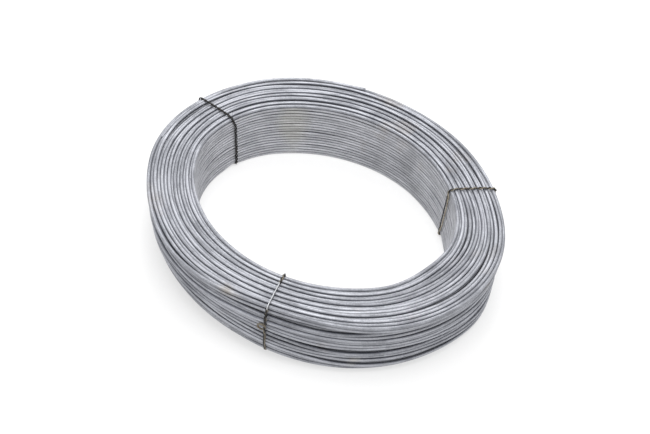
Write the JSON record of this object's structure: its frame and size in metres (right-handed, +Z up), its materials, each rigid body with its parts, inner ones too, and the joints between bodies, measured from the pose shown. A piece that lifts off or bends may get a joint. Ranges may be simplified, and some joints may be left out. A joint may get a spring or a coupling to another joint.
{
  "type": "coil of tension wire",
  "caption": "Flat oval coil of heavy galvanised fence wire, wound in even layers round an open bore and bound with three twisted tie wires.",
  "frame": {"origin": "centre of the coil's lower end, on the floor it lies on", "axes": "+X along the long axis of the oval bore, +Z up along the coil's own axis"},
  "size_m": [0.4823, 0.4262, 0.0913],
  "materials": {
    "galvanised_wire": "dull hot-dip galvanised, bluish grey",
    "tie_wire": "black annealed, dull, with a little rust"
  },
  "bodies": {
    "root": {"wire_coil": "galvanised_wire", "tie_left": "tie_wire", "tie_right": "tie_wire", "tie_front": "tie_wire"}
  },
  "joints": []
}
